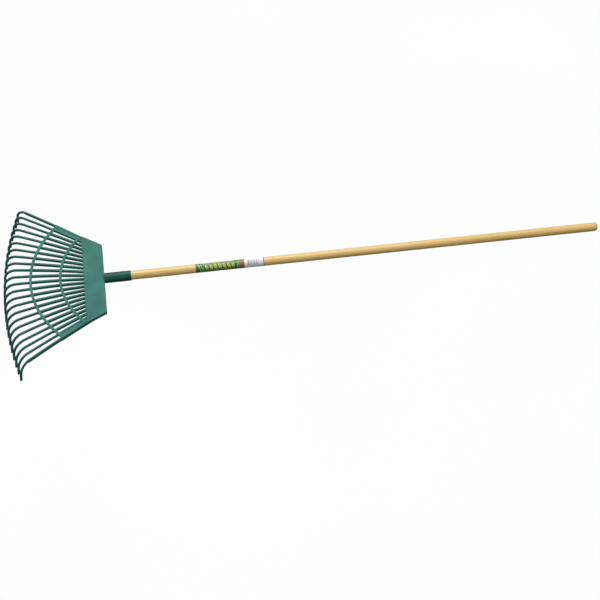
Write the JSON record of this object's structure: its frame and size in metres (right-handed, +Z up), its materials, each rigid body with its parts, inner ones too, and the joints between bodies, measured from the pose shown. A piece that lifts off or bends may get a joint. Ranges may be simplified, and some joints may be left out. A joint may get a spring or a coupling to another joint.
{
  "type": "leaf rake",
  "caption": "Long-handled leaf rake with a fan of sprung, hooked plastic tines tied by two curved crossbars, for gathering leaves and grass.",
  "frame": {"origin": "centre of the bounding box, on the ground that the tine tips and the grip end rest on", "axes": "+X from the tines towards the grip end, +Y to the left across the head, +Z up; the rake lies on its tine tips and grip end"},
  "size_m": [1.6468, 0.621, 0.0544],
  "materials": {
    "head_plastic": "matte moulded polypropylene, green",
    "socket_plastic": "smooth satin moulded polypropylene, dark green",
    "handle_wood": "pale straight-grained hardwood, sanded and clear varnished",
    "label_print": "printed film, dark green and yellow-green",
    "sticker_paper": "white self-adhesive paper with a printed strip",
    "screw_steel": "zinc plated"
  },
  "bodies": {
    "rake": {"handle": "handle_wood", "socket": "socket_plastic", "socket_screw": "screw_steel", "back_panel": "head_plastic", "socket_keel": "socket_plastic", "inner_crossbar": "head_plastic", "outer_crossbar": "head_plastic", "tine_roots": "head_plastic", "edge_web_left": "head_plastic", "edge_web_right": "head_plastic", "label_sleeve": "label_print", "stock_sticker": "sticker_paper"},
    "tine_01": {"tine_01": "head_plastic"},
    "tine_02": {"tine_02": "head_plastic"},
    "tine_03": {"tine_03": "head_plastic"},
    "tine_04": {"tine_04": "head_plastic"},
    "tine_05": {"tine_05": "head_plastic"},
    "tine_06": {"tine_06": "head_plastic"},
    "tine_07": {"tine_07": "head_plastic"},
    "tine_08": {"tine_08": "head_plastic"},
    "tine_09": {"tine_09": "head_plastic"},
    "tine_10": {"tine_10": "head_plastic"},
    "tine_11": {"tine_11": "head_plastic"},
    "tine_12": {"tine_12": "head_plastic"},
    "tine_13": {"tine_13": "head_plastic"},
    "tine_14": {"tine_14": "head_plastic"},
    "tine_15": {"tine_15": "head_plastic"},
    "tine_16": {"tine_16": "head_plastic"},
    "tine_17": {"tine_17": "head_plastic"},
    "tine_18": {"tine_18": "head_plastic"},
    "tine_19": {"tine_19": "head_plastic"},
    "tine_20": {"tine_20": "head_plastic"},
    "tine_21": {"tine_21": "head_plastic"},
    "tine_22": {"tine_22": "head_plastic"},
    "tine_23": {"tine_23": "head_plastic"}
  },
  "joints": [
    {"name": "tine_01_flex", "type": "hinge", "parent": "rake", "child": "tine_01", "pos_m": [-0.66958, -0.21894, 0.0443], "axis": [-0.6232, 0.782, 0.0103], "range_deg": [-3, 6], "stiffness_Nm_per_rad": 12},
    {"name": "tine_02_flex", "type": "hinge", "parent": "rake", "child": "tine_02", "pos_m": [-0.67973, -0.20614, 0.04671], "axis": [-0.5862, 0.8101, 0.0097], "range_deg": [-6, 12], "stiffness_Nm_per_rad": 3},
    {"name": "tine_03_flex", "type": "hinge", "parent": "rake", "child": "tine_03", "pos_m": [-0.69012, -0.19162, 0.04737], "axis": [-0.5443, 0.8388, 0.009], "range_deg": [-6, 12], "stiffness_Nm_per_rad": 3},
    {"name": "tine_04_flex", "type": "hinge", "parent": "rake", "child": "tine_04", "pos_m": [-0.70043, -0.17544, 0.04797], "axis": [-0.4978, 0.8672, 0.0082], "range_deg": [-6, 12], "stiffness_Nm_per_rad": 3},
    {"name": "tine_05_flex", "type": "hinge", "parent": "rake", "child": "tine_05", "pos_m": [-0.71037, -0.15764, 0.0485], "axis": [-0.4469, 0.8946, 0.0074], "range_deg": [-6, 12], "stiffness_Nm_per_rad": 3},
    {"name": "tine_06_flex", "type": "hinge", "parent": "rake", "child": "tine_06", "pos_m": [-0.71966, -0.13832, 0.04894], "axis": [-0.3917, 0.9201, 0.0065], "range_deg": [-6, 12], "stiffness_Nm_per_rad": 3},
    {"name": "tine_07_flex", "type": "hinge", "parent": "rake", "child": "tine_07", "pos_m": [-0.72803, -0.11761, 0.04929], "axis": [-0.3328, 0.943, 0.0055], "range_deg": [-6, 12], "stiffness_Nm_per_rad": 3},
    {"name": "tine_08_flex", "type": "hinge", "parent": "rake", "child": "tine_08", "pos_m": [-0.73525, -0.09566, 0.04957], "axis": [-0.2705, 0.9627, 0.0045], "range_deg": [-6, 12], "stiffness_Nm_per_rad": 3},
    {"name": "tine_09_flex", "type": "hinge", "parent": "rake", "child": "tine_09", "pos_m": [-0.74109, -0.07269, 0.04977], "axis": [-0.2054, 0.9787, 0.0034], "range_deg": [-6, 12], "stiffness_Nm_per_rad": 3},
    {"name": "tine_10_flex", "type": "hinge", "parent": "rake", "child": "tine_10", "pos_m": [-0.74539, -0.04892, 0.04991], "axis": [-0.1382, 0.9904, 0.0023], "range_deg": [-6, 12], "stiffness_Nm_per_rad": 3},
    {"name": "tine_11_flex", "type": "hinge", "parent": "rake", "child": "tine_11", "pos_m": [-0.74803, -0.0246, 0.04999], "axis": [-0.0695, 0.9976, 0.0011], "range_deg": [-6, 12], "stiffness_Nm_per_rad": 3},
    {"name": "tine_12_flex", "type": "hinge", "parent": "rake", "child": "tine_12", "pos_m": [-0.74891, 0, 0.05001], "axis": [0, 1, 0], "range_deg": [-6, 12], "stiffness_Nm_per_rad": 3},
    {"name": "tine_13_flex", "type": "hinge", "parent": "rake", "child": "tine_13", "pos_m": [-0.74803, 0.0246, 0.04999], "axis": [0.0695, 0.9976, -0.0011], "range_deg": [-6, 12], "stiffness_Nm_per_rad": 3},
    {"name": "tine_14_flex", "type": "hinge", "parent": "rake", "child": "tine_14", "pos_m": [-0.74539, 0.04892, 0.04991], "axis": [0.1382, 0.9904, -0.0023], "range_deg": [-6, 12], "stiffness_Nm_per_rad": 3},
    {"name": "tine_15_flex", "type": "hinge", "parent": "rake", "child": "tine_15", "pos_m": [-0.74109, 0.07269, 0.04977], "axis": [0.2054, 0.9787, -0.0034], "range_deg": [-6, 12], "stiffness_Nm_per_rad": 3},
    {"name": "tine_16_flex", "type": "hinge", "parent": "rake", "child": "tine_16", "pos_m": [-0.73525, 0.09566, 0.04957], "axis": [0.2705, 0.9627, -0.0045], "range_deg": [-6, 12], "stiffness_Nm_per_rad": 3},
    {"name": "tine_17_flex", "type": "hinge", "parent": "rake", "child": "tine_17", "pos_m": [-0.72803, 0.11761, 0.04929], "axis": [0.3328, 0.943, -0.0055], "range_deg": [-6, 12], "stiffness_Nm_per_rad": 3},
    {"name": "tine_18_flex", "type": "hinge", "parent": "rake", "child": "tine_18", "pos_m": [-0.71966, 0.13832, 0.04894], "axis": [0.3917, 0.9201, -0.0065], "range_deg": [-6, 12], "stiffness_Nm_per_rad": 3},
    {"name": "tine_19_flex", "type": "hinge", "parent": "rake", "child": "tine_19", "pos_m": [-0.71037, 0.15764, 0.0485], "axis": [0.4469, 0.8946, -0.0074], "range_deg": [-6, 12], "stiffness_Nm_per_rad": 3},
    {"name": "tine_20_flex", "type": "hinge", "parent": "rake", "child": "tine_20", "pos_m": [-0.70043, 0.17544, 0.04797], "axis": [0.4978, 0.8672, -0.0082], "range_deg": [-6, 12], "stiffness_Nm_per_rad": 3},
    {"name": "tine_21_flex", "type": "hinge", "parent": "rake", "child": "tine_21", "pos_m": [-0.69012, 0.19162, 0.04737], "axis": [0.5443, 0.8388, -0.009], "range_deg": [-6, 12], "stiffness_Nm_per_rad": 3},
    {"name": "tine_22_flex", "type": "hinge", "parent": "rake", "child": "tine_22", "pos_m": [-0.67973, 0.20614, 0.04671], "axis": [0.5862, 0.8101, -0.0097], "range_deg": [-6, 12], "stiffness_Nm_per_rad": 3},
    {"name": "tine_23_flex", "type": "hinge", "parent": "rake", "child": "tine_23", "pos_m": [-0.66958, 0.21894, 0.0443], "axis": [0.6232, 0.782, -0.0103], "range_deg": [-3, 6], "stiffness_Nm_per_rad": 12}
  ]
}
